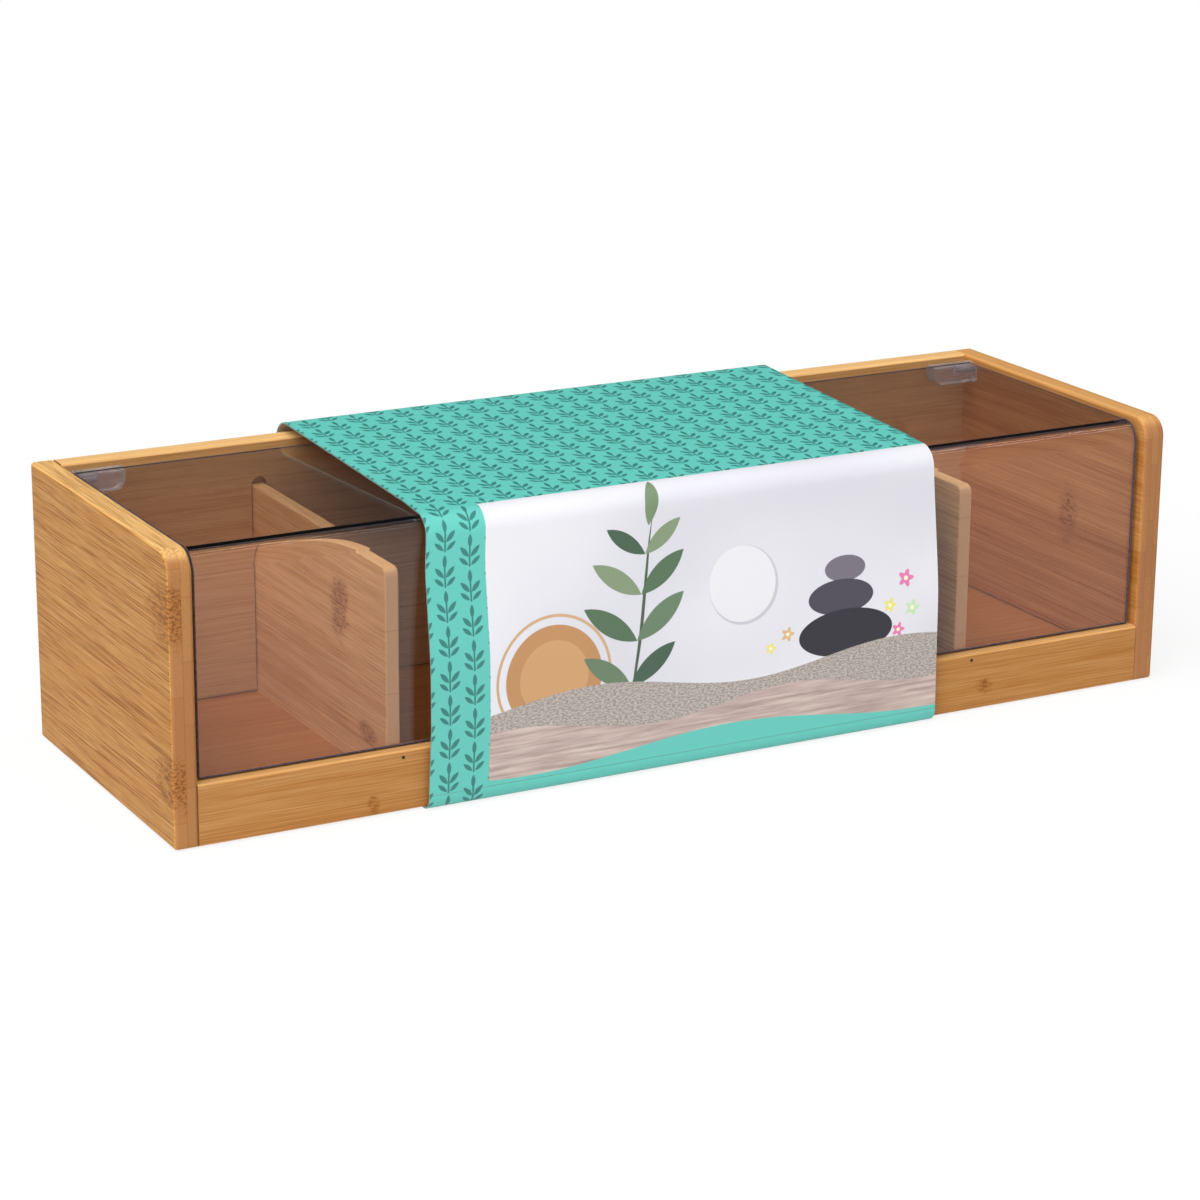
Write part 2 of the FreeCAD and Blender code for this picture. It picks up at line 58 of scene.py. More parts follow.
class NodeDesk:
    """A cleared node tree, with short ways to add its nodes."""

    def __init__(self, tree):
        self.tree = tree
        self.tree.nodes.clear()

    def add(self, kind, **settings):
        node = self.tree.nodes.new(kind)
        for name, value in settings.items():
            setattr(node, name, value)
        return node

    def feed(self, socket, value):
        if isinstance(value, bpy.types.NodeSocket):
            self.tree.links.new(value, socket)
        else:
            socket.default_value = value

    def math(self, operation, *values, clamp=False):
        node = self.add("ShaderNodeMath", operation=operation, use_clamp=clamp)
        for socket, value in zip(node.inputs, values):
            self.feed(socket, value)
        return node.outputs[0]

    def split(self, source):
        node = self.add("ShaderNodeSeparateXYZ")
        self.feed(node.inputs[0], source)
        return tuple(node.outputs)

    def join(self, *values):
        node = self.add("ShaderNodeCombineXYZ")
        for socket, value in zip(node.inputs, values):
            self.feed(socket, value)
        return node.outputs[0]

    def stretch(self, axes, factors):
        return self.join(*(self.math("MULTIPLY", a, s) for a, s in zip(axes, factors)))

    def noise(self, at, detail=2.0, roughness=0.5):
        node = self.add("ShaderNodeTexNoise")
        self.feed(node.inputs["Vector"], at)
        node.inputs["Scale"].default_value = 1.0
        node.inputs["Detail"].default_value = detail
        node.inputs["Roughness"].default_value = roughness
        return node.outputs[0]

    def lot(self, at):
        node = self.add("ShaderNodeTexWhiteNoise")
        self.feed(node.inputs["Vector"], at)
        return node.outputs["Value"]

    def step(self, value, low, high, first=0.0, last=1.0):
        node = self.add("ShaderNodeMapRange", interpolation_type="SMOOTHSTEP")
        for socket, part in zip(node.inputs, (value, low, high, first, last)):
            self.feed(socket, part)
        return node.outputs[0]

    def spread(self, value, low, high):
        """A value from 0 to 1 moved to the range from low to high."""
        return self.math("MULTIPLY_ADD", value, high - low, low)

    def ramp(self, value, *stops):
        node = self.add("ShaderNodeValToRGB")
        ramp = node.color_ramp
        while len(ramp.elements) < len(stops):
            ramp.elements.new(1.0)
        for element, (place, colour) in zip(ramp.elements, stops):
            element.position, element.color = place, colour
        self.feed(node.inputs[0], value)
        return node.outputs[0]

    def mix(self, amount, under, over):
        node = self.add("ShaderNodeMix", data_type="RGBA")
        for socket, value in zip((node.inputs[0], node.inputs[6], node.inputs[7]), (amount, under, over)):
            self.feed(socket, value)
        return node.outputs[2]

    def blend(self, amount, first, second):
        """A value between two others."""
        node = self.add("ShaderNodeMix")
        for socket, value in zip((node.inputs[0], node.inputs[2], node.inputs[3]), (amount, first, second)):
            self.feed(socket, value)
        return node.outputs[0]

    def away(self, across, down):
        """The distance from the centre that across and down start at."""
        return self.math("SQRT", self.math("MULTIPLY_ADD", across, across, self.math("MULTIPLY", down, down)))

    def bump(self, height, depth, strength):
        node = self.add("ShaderNodeBump")
        node.inputs["Strength"].default_value = strength
        node.inputs["Distance"].default_value = depth
        self.feed(node.inputs["Height"], height)
        return node.outputs[0]

    def choose(self, amount, first, second):
        """Two shaders, the second in the given amount."""
        node = self.add("ShaderNodeMixShader")
        for socket, value in zip(node.inputs, (amount, first, second)):
            self.feed(socket, value)
        return node.outputs[0]


class Finish(NodeDesk):
    """One procedural material."""

    def __init__(self, name):
        self.material = bpy.data.materials.new(name)
        self.material.use_nodes = True
        super().__init__(self.material.node_tree)
        self.out = self.add("ShaderNodeOutputMaterial")

    def place(self):
        """Where a point lies on the piece, as X, Y and Z."""
        return self.split(self.add("ShaderNodeTexCoord").outputs["Object"])

    def coat(self, **sockets):
        """The Principled shader, fed by socket name with _ for a space."""
        node = self.add("ShaderNodeBsdfPrincipled")
        for name, value in sockets.items():
            self.feed(node.inputs[name.replace("_", " ")], value)
        return node.outputs[0]

    def show(self, shader):
        self.tree.links.new(shader, self.out.inputs["Surface"])
        return self.material


def put_finish(piece, *materials):
    """Sets a piece's materials. A bare piece isn't cleared, because that resets the slots of its faces."""
    if len(piece.data.materials):
        piece.data.materials.clear()
    for material in materials:
        piece.data.materials.append(material)


# Bamboo boards: strips glued side by side, in plies, with fibres, pores, knuckle marks and painted top light

def wood_shades(*tones):
    """Four tones of one board, from its dark lines to its palest fibres."""
    return tuple(zip((0.0, 0.3, 0.56, 1.0), (tint(*tone) for tone in tones)))


HONEY = wood_shades((142, 82, 34), (184, 120, 58), (209, 150, 85), (236, 190, 128))
GOLDEN = wood_shades((138, 78, 26), (180, 115, 46), (206, 144, 70), (234, 184, 112))
AMBER = wood_shades((122, 66, 18), (154, 91, 32), (174, 109, 44), (198, 137, 68))
PORE, KNUCKLE, TICK = tint(130, 76, 30), tint(168, 102, 44), tint(104, 60, 26)
# The first tone below is painted top light for the tops of the boards; the second is the cut end grain.
PAINTED_TOP_LIGHT, CUT = tint(234, 190, 126), tint(160, 119, 90)

# Repeats in a metre of board: along the grain, across it and through the plies
SWAY, BANDS, FIBRES = (8, 30, 30), (7, 330, 330), (26, 2600, 2600)
THREADS, PORES = (34, 2300, 2300), (60, 3400, 3400)
SPECKS, RAGGED = (420, 1200, 900), (90, 330, 330)


def in_order(xyz, axes):
    """X, Y and Z in a board's own order, such as YZX."""
    return [xyz["XYZ".index(axis)] for axis in axes]


def knuckle_marks(f, grain, knuckles):
    """How far a point lies in a knuckle, and how far in one of its specks."""
    along, across, _ = grain
    specks = f.step(f.noise(f.stretch(grain, SPECKS), 2, 0.6), 0.46, 0.58)
    ragged = f.noise(f.stretch(grain, RAGGED), 2, 0.6)
    marks = 0.0
    for a, c, length, height in knuckles:
        near = f.away(f.math("MULTIPLY", f.math("SUBTRACT", along, a), 1 / length),
                      f.math("MULTIPLY", f.math("SUBTRACT", across, c), 1 / height))
        near = f.math("MULTIPLY_ADD", ragged, 1.1, f.math("ADD", near, -0.55))
        marks = f.math("MAXIMUM", marks, f.step(near, 0.35, 1.05, 1.0, 0.0))
    return marks, specks


def bamboo(name, axes, strip, first, outer, ply, seed, knuckles=(), shades=HONEY,
           lines=0.5, lift=0.0, end_lift=0.0, painted_top_amount=0.62):
    """Grain along axes[0], strips stacked along axes[1] from first, plies along axes[2] from the outer face.

    A knuckle is (place along the grain, place across, half length, half height). The share of dark lines is
    lines, and lift and end_lift lighten the faces and the cut ends; a negative lift darkens a board, and on
    the right end that is painted shade. The last setting is painted top light: it lightens the faces that
    face along axes[1], the tops of the boards.
    """
    f = Finish(name)
    spot = f.add("ShaderNodeTexCoord").outputs
    along, across, through = in_order(f.split(spot["Object"]), axes)

    depth = f.math("MULTIPLY", f.math("SUBTRACT", through, outer), 1 / ply)
    layer = f.math("FLOOR", depth)
    shifted = f.math("MULTIPLY", layer, 0.45)
    rise = f.math("MULTIPLY_ADD", f.math("SUBTRACT", across, first), 1 / strip, shifted)
    strip_lot = f.lot(f.join(f.math("FLOOR", rise), layer, seed))
    slid = f.math("MULTIPLY_ADD", strip_lot, 3.1, along)
    sway = f.noise(f.stretch((slid, across, through), SWAY), 1)
    course = slid, f.math("MULTIPLY_ADD", sway, 0.0005, across), through
    bands = f.noise(f.stretch(course, BANDS), 2, 0.5)
    fibres = f.noise(f.stretch(course, FIBRES), 2, 0.6)
    threads = f.noise(f.stretch(course, THREADS), 2, 0.6)
    pores = f.noise(f.stretch(course, PORES), 1, 0.5)

    facing = in_order(f.split(spot["Normal"]), axes)
    facing_along, facing_across = (f.math("ABSOLUTE", part) for part in facing[:2])
    cut_end = f.step(facing_along, 0.4, 0.85)
    # Painted top light: the faces turned along axes[1], the tops of the boards, get a paler colour that
    # stands in for light from above.
    painted_top_share = f.step(facing_across, 0.45, 0.9, 0.0, painted_top_amount)
    side_tone = f.math("MULTIPLY_ADD", fibres, 0.3 + 1.7 * lines, lift + 0.13 - 0.85 * lines)
    side_tone = f.math("MULTIPLY_ADD", bands, 0.5, side_tone)
    side_tone = f.math("MULTIPLY_ADD", strip_lot, 0.16, side_tone)
    end_tone = f.math("MULTIPLY_ADD", strip_lot, 0.2, f.math("MULTIPLY_ADD", fibres, 0.5, end_lift + 0.03))
    colour = f.ramp(f.blend(cut_end, side_tone, end_tone), *shades)
    colour = f.mix(f.math("MULTIPLY", cut_end, 0.5), colour, CUT)
    # The painted top light is laid on here.
    colour = f.mix(painted_top_share, colour, PAINTED_TOP_LIGHT)
    dark = f.math("MAXIMUM", f.step(threads, 0.52, 0.64, 0.0, 0.8 * lines),
                  f.step(pores, 0.55, 0.7, 0.0, 0.5 * lines))
    dark = f.math("MULTIPLY", dark, f.step(facing_along, 0.4, 0.8, 1.0, 0.0))
    colour = f.mix(dark, colour, PORE)

    seam = f.math("ABSOLUTE", f.math("SUBTRACT", f.math("FRACT", rise), 0.5))
    colour = f.mix(f.step(seam, 0.486, 0.5, 0.0, 0.28), colour, PORE)
    glue = f.math("ABSOLUTE", f.math("SUBTRACT", f.math("FRACT", depth), 0.5))
    colour = f.mix(f.step(glue, 0.45, 0.5, 0.0, 0.4), colour, PORE)

    if knuckles:
        marks, specks = knuckle_marks(f, (along, across, through), knuckles)
        marks = f.math("MULTIPLY", marks, f.math("COMPARE", layer, 0.0, 0.5))
        colour = f.mix(f.math("MULTIPLY", marks, 0.42), colour, KNUCKLE)
        colour = f.mix(f.math("MULTIPLY", f.math("MULTIPLY", marks, specks), 0.62), colour, TICK)

    rough = f.spread(fibres, 0.34, 0.52)
    return f.show(f.coat(Base_Color=colour, Roughness=rough, Specular_IOR_Level=0.08,
                         Normal=f.bump(fibres, 0.00012, 0.1)))


def finish_boards():
    """Gives each bamboo board its own cut of the finish."""
    boards = {
        "left_end": bamboo(
            "bamboo_left_end", "YZX", strip=0.0203, first=0.0092, outer=-0.185, ply=0.0042, seed=3.0,
            knuckles=((-0.0590, 0.0755, 0.0180, 0.0130), (-0.0590, 0.0213, 0.0160, 0.0105)),
            shades=GOLDEN, lines=0.95, lift=0.14),
        # Painted shade: the right end's negative lift darkens the whole board, for the light that falls off
        # towards the right.
        "right_end": bamboo(
            "bamboo_right_end", "YZX", strip=0.0203, first=0.0072, outer=0.1769, ply=0.0028, seed=8.0,
            knuckles=((-0.016, 0.0505, 0.0070, 0.0135),),
            lines=0.2, lift=-0.2, end_lift=-0.1, painted_top_amount=0.3),
        "back_wall": bamboo(
            "bamboo_back_wall", "XZY", strip=0.0215, first=0.0085, outer=0.052, ply=0.0041, seed=5.0,
            knuckles=((0.148, 0.0632, 0.006, 0.0095),),
            lines=0.3, lift=0.35),
        "front_rail": bamboo(
            "bamboo_front_rail", "XZY", strip=0.0215, first=-0.0006, outer=-0.060, ply=0.0041, seed=11.0,
            knuckles=((-0.118, 0.0045, 0.0026, 0.0045), (0.1135, 0.0085, 0.0044, 0.0034)),
            lines=0.36, lift=0.05, painted_top_amount=0.4),
        "floor_panel": bamboo(
            "bamboo_floor", "XYZ", strip=0.0215, first=-0.0547, outer=0.0025, ply=0.006, seed=17.0,
            shades=AMBER, lines=0.4, painted_top_amount=0.0),
    }
    for n in range(1, 5):
        slide, drop = 0.019 * (1 - n % 3), 0.0208 * ((n + 1) % 2)
        marks = ((-0.017 + slide, 0.057 - drop, 0.0085, 0.0135), (-0.037 + slide, 0.020, 0.0085, 0.004))
        boards[f"divider_{n}"] = bamboo(
            f"bamboo_divider_{n}", "YZX", strip=0.0208, first=0.0135 + 0.0031 * n, outer=-0.2, ply=0.4,
            seed=20.0 + 3 * n, knuckles=marks, lines=0.42, lift=0.2, end_lift=0.7)
    for node, material in boards.items():
        put_finish(nodes[node], material)


def dowel_wood():
    f = Finish("dowel_beech")
    pores = f.noise(f.stretch(f.place(), (60, 1900, 1900)), 3, 0.6)
    colour = f.ramp(pores, (0.3, tint(176, 132, 88)), (0.7, tint(216, 180, 136)))
    return f.show(f.coat(Base_Color=colour, Roughness=f.spread(pores, 0.5, 0.7)))


def drawn_steel(name, axes, dark, light):
    """Wire with fine drawing marks along axes[0]."""
    f = Finish(name)
    marks = f.noise(f.stretch(in_order(f.place(), axes), (300, 6000, 6000)), 2)
    return f.show(f.coat(Base_Color=f.ramp(marks, (0.3, dark), (0.7, light)), Metallic=1.0,
                         Roughness=f.spread(marks, 0.28, 0.45)))


# Plastics

SMOKE, SMOKE_DEPTH = (0.30, 0.05, 0.38, 1.0), 58.0
CLEAR_BLOCK = (0.78, 0.735, 0.69, 1.0)


def clear_sheet(name, colour, depth_colour, depth, roughness, clear=1.0):
    """Clear plastic that lets lamps through, deeper in tone the further light runs inside it."""
    f = Finish(name)
    haze = f.noise(f.stretch(f.place(), (160, 160, 160)), 3)
    body = f.coat(Base_Color=colour, Roughness=f.spread(haze, *roughness), IOR=1.49,
                  Transmission_Weight=clear)
    through = f.add("ShaderNodeBsdfTransparent")
    through.inputs[0].default_value = (0.95, 0.94, 0.95, 1.0)
    ray = f.add("ShaderNodeLightPath")
    if depth:
        inside = f.add("ShaderNodeVolumeAbsorption")
        inside.inputs["Color"].default_value = depth_colour
        inside.inputs["Density"].default_value = depth
        f.tree.links.new(inside.outputs[0], f.out.inputs["Volume"])
    return f.show(f.choose(ray.outputs["Is Shadow Ray"], body, through.outputs[0]))


def rim_tone_and_gap_shade():
    """The cut rim of the smoked sheet, where its tone is deepest; its dark colour is also painted shade for
    the dark gaps along the lid's edges.
    """
    f = Finish("smoked_rim_and_gap_shade")
    marks = f.noise(f.stretch(f.place(), (900, 900, 900)), 2)
    colour = f.ramp(marks, (0.3, tint(66, 57, 65)), (0.7, tint(94, 83, 91)))
    return f.show(f.coat(Base_Color=colour, Roughness=f.spread(marks, 0.2, 0.4)))


def make_piece(name, bm, materials, body, stands_for, crease):
    """Turns a bmesh into a piece in place of its CAD node, sharp where faces turn by crease degrees."""
    mesh = bpy.data.meshes.new(name)
    bm.to_mesh(mesh)
    bm.free()
    mesh.polygons.foreach_set("use_smooth", [True] * len(mesh.polygons))
    mesh.set_sharp_from_angle(angle=math.radians(crease))
    piece = bpy.data.objects.new(name, mesh)
    scene.collection.objects.link(piece)
    put_finish(piece, *materials)
    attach(piece, body)
    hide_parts(stands_for)


class FoldedStrip:
    """A straight edge across X swept along a path of straights and bends in the YZ plane."""

    def __init__(self, left, right, start, columns):
        self.bm = bmesh.new()
        self.run = self.bm.verts.layers.float.new("run")
        self.length = 0.0
        ends = [self.bm.verts.new((x, *start)) for x in (left, right)]
        edge = self.bm.edges.new(ends)
        bmesh.ops.subdivide_edges(self.bm, edges=[edge], cuts=columns - 1)
        self.edges = list(self.bm.edges)
        self.at = Vector((0.0, *start))

    def _grow(self, step):
        made = bmesh.ops.extrude_edge_only(self.bm, edges=self.edges)["geom"]
        self.edges = [e for e in made if isinstance(e, bmesh.types.BMEdge)]
        verts = [v for v in made if isinstance(v, bmesh.types.BMVert)]
        self.length += step
        for v in verts:
            v[self.run] = self.length
        return verts

    def straight(self, y, z, pieces=1):
        """On to the point y, z."""
        way = (Vector((0.0, y, z)) - self.at) / pieces
        for _ in range(pieces):
            bmesh.ops.translate(self.bm, verts=self._grow(way.length), vec=way)
        self.at = Vector((0.0, y, z))

    def bend(self, centre, angle, pieces):
        """Round a centre in the YZ plane, by an angle in degrees about +X."""
        middle = Vector((0.0, *centre))
        turn = Matrix.Rotation(math.radians(angle) / pieces, 3, "X")
        step = abs(math.radians(angle)) / pieces * (self.at - middle).length
        for _ in range(pieces):
            bmesh.ops.rotate(self.bm, verts=self._grow(step), cent=middle, matrix=turn)
            self.at = middle + turn @ (self.at - middle)

    def follow(self, points, pieces_per_bend):
        """Through points (y, z, corner radius), the last without a corner."""
        for (y, z, radius), after in zip(points, list(points[1:]) + [None]):
            corner = Vector((0.0, y, z))
            if after is None:
                self.straight(y, z, 8)
                return
            before = (corner - self.at).normalized()
            ahead = (Vector((0.0, after[0], after[1])) - corner).normalized()
            turn = math.atan2(before.cross(ahead).x, before.dot(ahead))
            back = radius * math.tan(abs(turn) / 2)
            entry = corner - before * back
            self.straight(entry.y, entry.z, 8)
            inward = Vector((1.0, 0.0, 0.0)).cross(before) * math.copysign(radius, turn)
            centre = self.at + inward
            self.bend((centre.y, centre.z), math.degrees(turn), pieces_per_bend)


def thicken(bm, thick):
    """A closed shell, half of its thickness on each side of the sheet."""
    bmesh.ops.recalc_face_normals(bm, faces=bm.faces[:])
    bm.normal_update()
    for v in bm.verts:
        v.co += v.normal * (thick / 2) * v.calc_shell_factor()
    bm.normal_update()
    bmesh.ops.solidify(bm, geom=bm.faces[:], thickness=thick)
    bmesh.ops.recalc_face_normals(bm, faces=bm.faces[:])
    bm.normal_update()


def make_lid():
    """One sheet of smoked plastic, bent to an L over the top and the front."""
    low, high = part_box("lid")
    thick, bend, arris, rim = 0.002, 0.006, 0.0003, 0.0004
    top, front = high.z - thick / 2, low.y + thick / 2
    strip = FoldedStrip(low.x, high.x, (high.y, top), 12)
    strip.straight(front + bend, top, 12)
    strip.bend((front + bend, top - bend), 90, 96)
    strip.straight(front, low.z, 10)
    bm = strip.bm
    thicken(bm, thick)
    corners = [e for e in bm.edges if e.calc_face_angle(0.0) > math.radians(60)]
    bmesh.ops.bevel(bm, geom=corners, offset=arris, offset_type="OFFSET", affect="EDGES", segments=2,
                    profile=0.5, material=-1)
    # The rim faces take the dark rim finish: the sheet's deep edge tone, and painted shade for the gaps
    # beside and below the lid.
    for face in bm.faces:
        at = face.calc_center_median()
        if abs(at.x) > high.x - rim or at.z < low.z + rim or at.y > high.y - rim:
            face.material_index = 1
    smoked = clear_sheet("smoked_acrylic", grey(1.0), SMOKE, depth=SMOKE_DEPTH, roughness=(0.0, 0.02))
    make_piece("lid_sheet", bm, [smoked, rim_tone_and_gap_shade()], "lid", "lid", 20)


# Printed card band: leaf sprigs on a teal ground, and a front panel of hills and discs

TEAL, TEAL_DARK = tint(98, 197, 185), tint(52, 126, 119)
CARD_WIDE, CARD_LONG, CARD_START = 0.25, 0.46, 0.14
CARD_THICK = 0.0005


def disc(f, x, y, centre, radius, soft=0.00015):
    across = f.math("SUBTRACT", x, centre[0])
    down = f.math("SUBTRACT", y, centre[1])
    return f.step(f.away(across, down), radius - soft, radius + soft, 1.0, 0.0)


def ring(f, x, y, centre, radius, half):
    outer, inner = disc(f, x, y, centre, radius + half), disc(f, x, y, centre, radius - half)
    return f.math("SUBTRACT", outer, inner, clamp=True)


def oval(f, x, y, centre, wide, tall):
    squeezed = f.math("MULTIPLY", y, wide / tall)
    return disc(f, x, squeezed, (centre[0], centre[1] * wide / tall), wide)


def leaf(f, x, y, centre, lean, length, width, soft=0.00012):
    """A leaf with two pointed ends, its length leant from the X axis by an angle in degrees."""
    reach = ((length / 2) ** 2 / (width / 2) + width / 2) / 2
    offset = reach - width / 2
    c, s = math.cos(math.radians(lean)), math.sin(math.radians(lean))
    rx, ry = f.math("SUBTRACT", x, centre[0]), f.math("SUBTRACT", y, centre[1])
    a = f.math("MULTIPLY_ADD", rx, c, f.math("MULTIPLY", ry, s))
    b = f.math("MULTIPLY_ADD", ry, c, f.math("MULTIPLY", rx, -s))
    b = f.math("ADD", f.math("ABSOLUTE", b), offset)
    return f.step(f.away(a, b), reach - soft, reach + soft, 1.0, 0.0)


def blossom(f, x, y, centre, size, soft=0.00012):
    """Five round petals about a centre."""
    rx, ry = f.math("SUBTRACT", x, centre[0]), f.math("SUBTRACT", y, centre[1])
    petals = f.math("COSINE", f.math("MULTIPLY", f.math("ARCTAN2", ry, rx), 5.0))
    rim = f.math("MULTIPLY_ADD", petals, size * 0.24, size * 0.78)
    return f.step(f.math("SUBTRACT", f.away(rx, ry), rim), -soft, soft, 1.0, 0.0)


def hill(f, x, y, level, swing, length, start):
    """All that lies below a wavy line."""
    wave = f.math("SINE", f.math("MULTIPLY_ADD", x, 2 * math.pi / length, start))
    line = f.math("MULTIPLY_ADD", wave, swing, level)
    return f.step(f.math("SUBTRACT", y, line), -0.00015, 0.00015)


def sprigs(f, x, y):
    """Leaf sprigs in columns, each column dropped by half a repeat from the last."""
    wide, tall = 0.0088, 0.0112
    column = f.math("DIVIDE", x, wide)
    drop = f.math("MULTIPLY", f.math("FLOORED_MODULO", f.math("FLOOR", column), 2.0), 0.5)
    across = f.math("MULTIPLY_ADD", f.math("FRACT", column), wide, -wide / 2)
    row = f.math("ADD", f.math("DIVIDE", y, tall), drop)
    down = f.math("MULTIPLY_ADD", f.math("FRACT", row), tall, -tall / 2)
    side = f.math("ABSOLUTE", across)
    pair = leaf(f, side, down, (0.0019, 0.0002), -48, 0.0046, 0.0016)
    low_pair = leaf(f, side, down, (0.0021, 0.0032), -40, 0.0042, 0.0014)
    bud = leaf(f, across, down, (0.0, -0.0031), 90, 0.0044, 0.0015)
    stem = f.math("MULTIPLY", f.step(side, 0.0002, 0.0004, 1.0, 0.0),
                  f.step(f.math("ABSOLUTE", f.math("SUBTRACT", down, 0.0015)), 0.0034, 0.0037, 1.0, 0.0))
    return f.math("MAXIMUM", f.math("MAXIMUM", pair, low_pair), f.math("MAXIMUM", bud, stem))


# The panel's picture: places across from the middle of the box and down from the front fold
SUN = (-0.055, 0.062)
STEM_LEAVES = ((-0.0268, 0.069, 0.021), (-0.0245, 0.054, 0.023),
               (-0.0222, 0.039, 0.021), (-0.0200, 0.026, 0.017))
GREENS = tint(70, 96, 76), tint(104, 128, 100), tint(84, 112, 84), tint(132, 150, 118)
ROSE, LEMON, MINT, SAND = tint(228, 122, 172), tint(238, 226, 122), tint(198, 228, 184), tint(222, 184, 136)
BLOSSOMS = ((0.0800, 0.0470, 0.0027, ROSE), (0.0735, 0.0555, 0.0022, LEMON), (0.0825, 0.0575, 0.0025, MINT),
            (0.0770, 0.0645, 0.0022, ROSE), (0.0330, 0.0600, 0.0022, SAND), (0.0265, 0.0640, 0.0018, LEMON))


def panel_shapes(f, x, y):
    """The sun, the plant, the pale disc, the stones and the blossoms, each with its colour."""
    shapes = [(ring(f, x, y, SUN, 0.0205, 0.0005), tint(206, 168, 126)),
              (disc(f, x, y, SUN, 0.0175), tint(192, 141, 92)),
              (disc(f, x, y, SUN, 0.0125), tint(206, 158, 108)),
              (leaf(f, x, y, (-0.0225, 0.048), 99, 0.074, 0.0012), tint(74, 92, 70))]
    for n, (stem_x, stem_y, size) in enumerate(STEM_LEAVES):
        for shade, lean in ((n, -38), (n + 1, -146)):
            reach = Vector((math.cos(math.radians(lean)), math.sin(math.radians(lean)))) * size * 0.5
            centre = stem_x + reach.x, stem_y + reach.y
            shapes.append((leaf(f, x, y, centre, lean, size, size * 0.31), GREENS[shade % len(GREENS)]))
    shapes += [(leaf(f, x, y, (-0.0172, 0.009), 100, 0.016, 0.005), tint(118, 140, 108)),
               (disc(f, x, y, (0.0165, 0.041), 0.0132), tint(198, 197, 206)),
               (disc(f, x, y, (0.0160, 0.0405), 0.0127), tint(231, 230, 234)),
               (oval(f, x, y, (0.0560, 0.0405), 0.0080, 0.0044), tint(116, 111, 122)),
               (oval(f, x, y, (0.0540, 0.0500), 0.0128, 0.0060), tint(74, 69, 82)),
               (oval(f, x, y, (0.0560, 0.0625), 0.0185, 0.0082), tint(46, 43, 54))]
    for across, down, size, colour in BLOSSOMS:
        shapes.append((blossom(f, x, y, (across, down), size * 1.15), colour))
        shapes.append((disc(f, x, y, (across, down), size * 0.3), tint(250, 244, 214)))
    return shapes


def panel_picture(f, x, y):
    """The shapes on a pale sky, behind a gravel hill, a furrowed hill and a teal one."""
    haze = f.step(f.noise(f.stretch((x, y, 0.0), (9, 16, 1)), 1), 0.3, 0.7)
    panel = f.mix(haze, tint(214, 213, 221), tint(232, 232, 237))
    for shape, colour in panel_shapes(f, x, y):
        panel = f.mix(shape, panel, colour)
    grit = f.noise(f.stretch((x, y, 0.0), (900, 2200, 1)), 1)
    gravel = f.mix(f.step(grit, 0.35, 0.65), tint(150, 140, 134), tint(192, 182, 174))
    panel = f.mix(hill(f, x, y, 0.0700, 0.0034, 0.118, 0.6), panel, gravel)
    rows = f.noise(f.stretch((x, y, 0.0), (40, 700, 1)), 3, 0.6)
    furrows = f.ramp(rows, (0.3, tint(160, 138, 130)), (0.5, tint(190, 168, 160)), (0.7, tint(214, 196, 186)))
    panel = f.mix(hill(f, x, y, 0.0800, 0.0030, 0.104, 2.6), panel, furrows)
    return f.mix(hill(f, x, y, 0.0905, 0.0030, 0.150, 4.2), panel, TEAL)


def band_print():
    """The printed side of the card, on its map: across the box, and down from the front fold."""
    f = Finish("band_print")
    card = f.add("ShaderNodeUVMap", uv_map="print")
    u, v, _ = f.split(card.outputs[0])
    x = f.math("MULTIPLY_ADD", u, CARD_WIDE, -CARD_WIDE / 2)
    y = f.math("MULTIPLY_ADD", v, CARD_LONG, -CARD_START)

    below, above = f.step(y, 0.0003, 0.0006), f.step(y, 0.1065, 0.1068, 1.0, 0.0)
    inside = f.math("MULTIPLY", f.step(x, -0.0782, -0.0779), f.math("MULTIPLY", below, above))
    ground = f.mix(sprigs(f, x, y), TEAL, TEAL_DARK)
    colour = f.mix(inside, ground, panel_picture(f, x, y))
    grain = f.noise(f.stretch((x, y, 0.0), (1400, 1400, 1)), 2)
    return f.show(f.coat(Base_Color=colour, Roughness=f.spread(grain, 0.4, 0.5),
                         Normal=f.bump(grain, 0.00003, 0.15)))


def plain_card(name, dark, light):
    f = Finish(name)
    pulp = f.noise(f.stretch(f.place(), (700, 700, 700)), 3, 0.6)
    colour = f.ramp(pulp, (0.3, dark), (0.7, light))
    return f.show(f.coat(Base_Color=colour, Roughness=f.spread(pulp, 0.7, 0.85)))


def between(stops, at):
    """The value at a place on straight lines through stops (place, value)."""
    for (low, first), (high, last) in zip(stops, stops[1:]):
        if at <= high:
            return first + (last - first) * max(at - low, 0.0) / (high - low)
    return stops[-1][1]


def wrap_card(name, node, body, start, points, map_at, trim, finishes):
    """One length of the band: folded, mapped for the print, trimmed at its two edges and thickened."""
    low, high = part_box(node)
    strip = FoldedStrip(low.x, high.x, start, 24)
    strip.follow(points, 14)
    bm, run = strip.bm, strip.run
    prints = bm.loops.layers.uv.new("print")
    bmesh.ops.recalc_face_normals(bm, faces=bm.faces[:])
    for face in bm.faces:
        for loop in face.loops:
            loop[prints].uv = (loop.vert.co.x / CARD_WIDE + 0.5,
                               (map_at(loop.vert[run], strip.length) + CARD_START) / CARD_LONG)
    for v in bm.verts:
        part = (v.co.x - low.x) / (high.x - low.x)
        at = v[run] / strip.length
        v.co.x += between(trim[0], at) * (1 - part) + between(trim[1], at) * part
    thicken(bm, CARD_THICK)
    middle = Vector((0.0, 0.0, 0.048))
    for face in bm.faces:
        if abs(face.normal.x) > 0.7:
            face.material_index = 2
        elif face.normal.dot(face.calc_center_median() - middle) < 0:
            face.material_index = 1
    make_piece(name, bm, finishes, body, node, 40)


